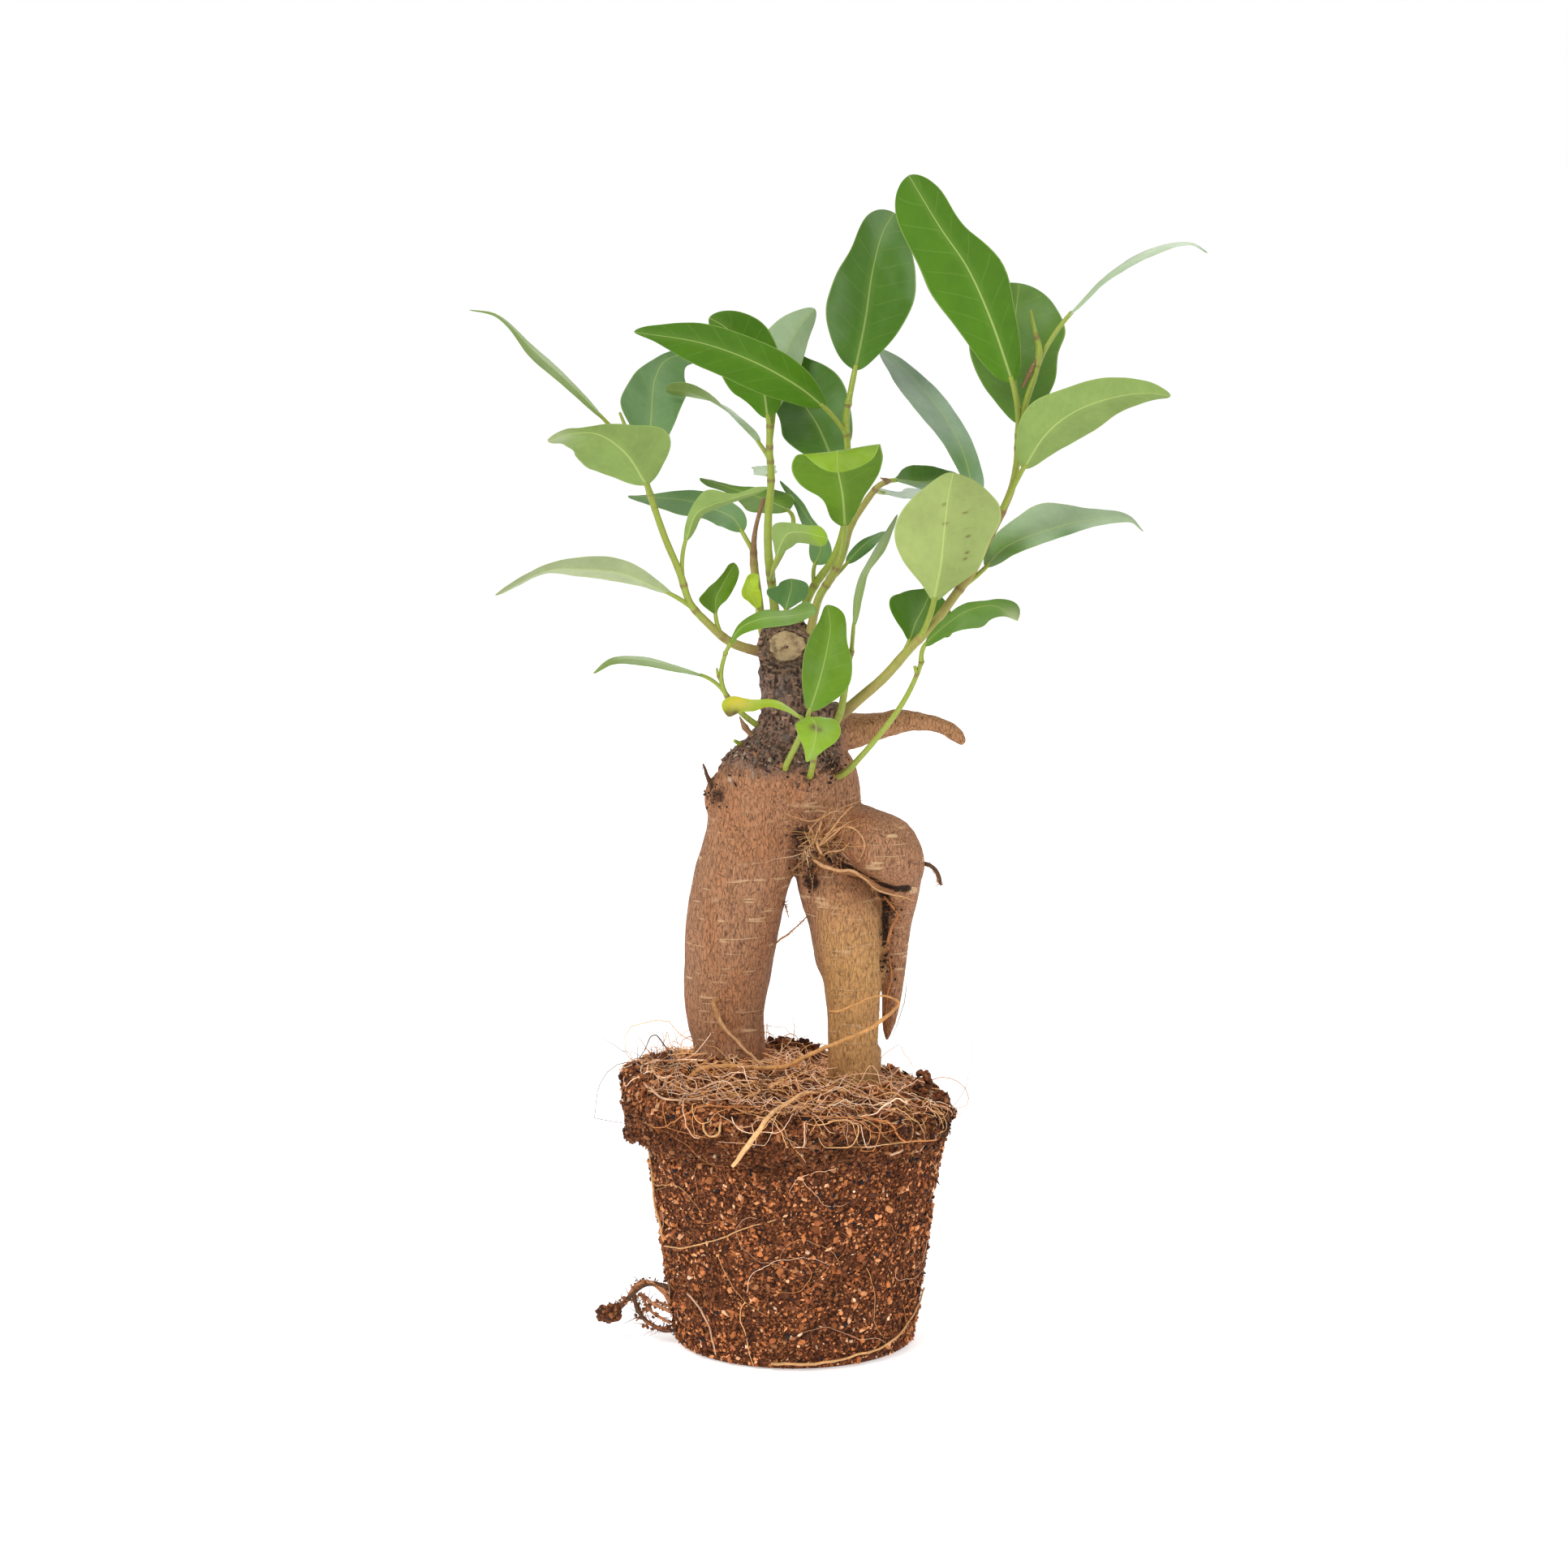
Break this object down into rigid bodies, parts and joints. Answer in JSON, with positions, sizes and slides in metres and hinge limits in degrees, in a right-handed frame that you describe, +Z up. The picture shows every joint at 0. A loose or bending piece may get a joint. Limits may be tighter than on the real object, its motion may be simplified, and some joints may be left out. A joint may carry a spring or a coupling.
{
  "type": "ginseng ficus bonsai with bare root ball",
  "caption": "Small ficus tree with swollen leg-like roots, a sawn neck and leafy shoots, standing on the bare root ball moulded by its nursery pot.",
  "frame": {"origin": "centre of the root ball's flat underside", "axes": "+Z up the tree, -Y towards the viewer's best side, +X to the viewer's right"},
  "size_m": [0.2484, 0.1127, 0.4022],
  "materials": {
    "soil": "coarse coir crumbs held by fine roots, rough and matte",
    "root": "thin pale tan root strands, dull",
    "bark": "fine vertical grain with pale lenticels, dull",
    "leaf": "leathery blade, glossy above and satin yellow-green below",
    "stem": "smooth olive-green young stem, brown towards its foot"
  },
  "bodies": {
    "root": {"soil_plug": "soil", "trunk": "bark", "shoot_left": "leaf", "shoot_twig": "leaf", "shoot_middle": "leaf", "shoot_tall": "leaf", "shoot_inner": "leaf", "shoot_right": "leaf", "shoot_short": "leaf", "shoot_low_right": "leaf", "shoot_low_left": "leaf", "shoot_front": "leaf"}
  },
  "joints": []
}
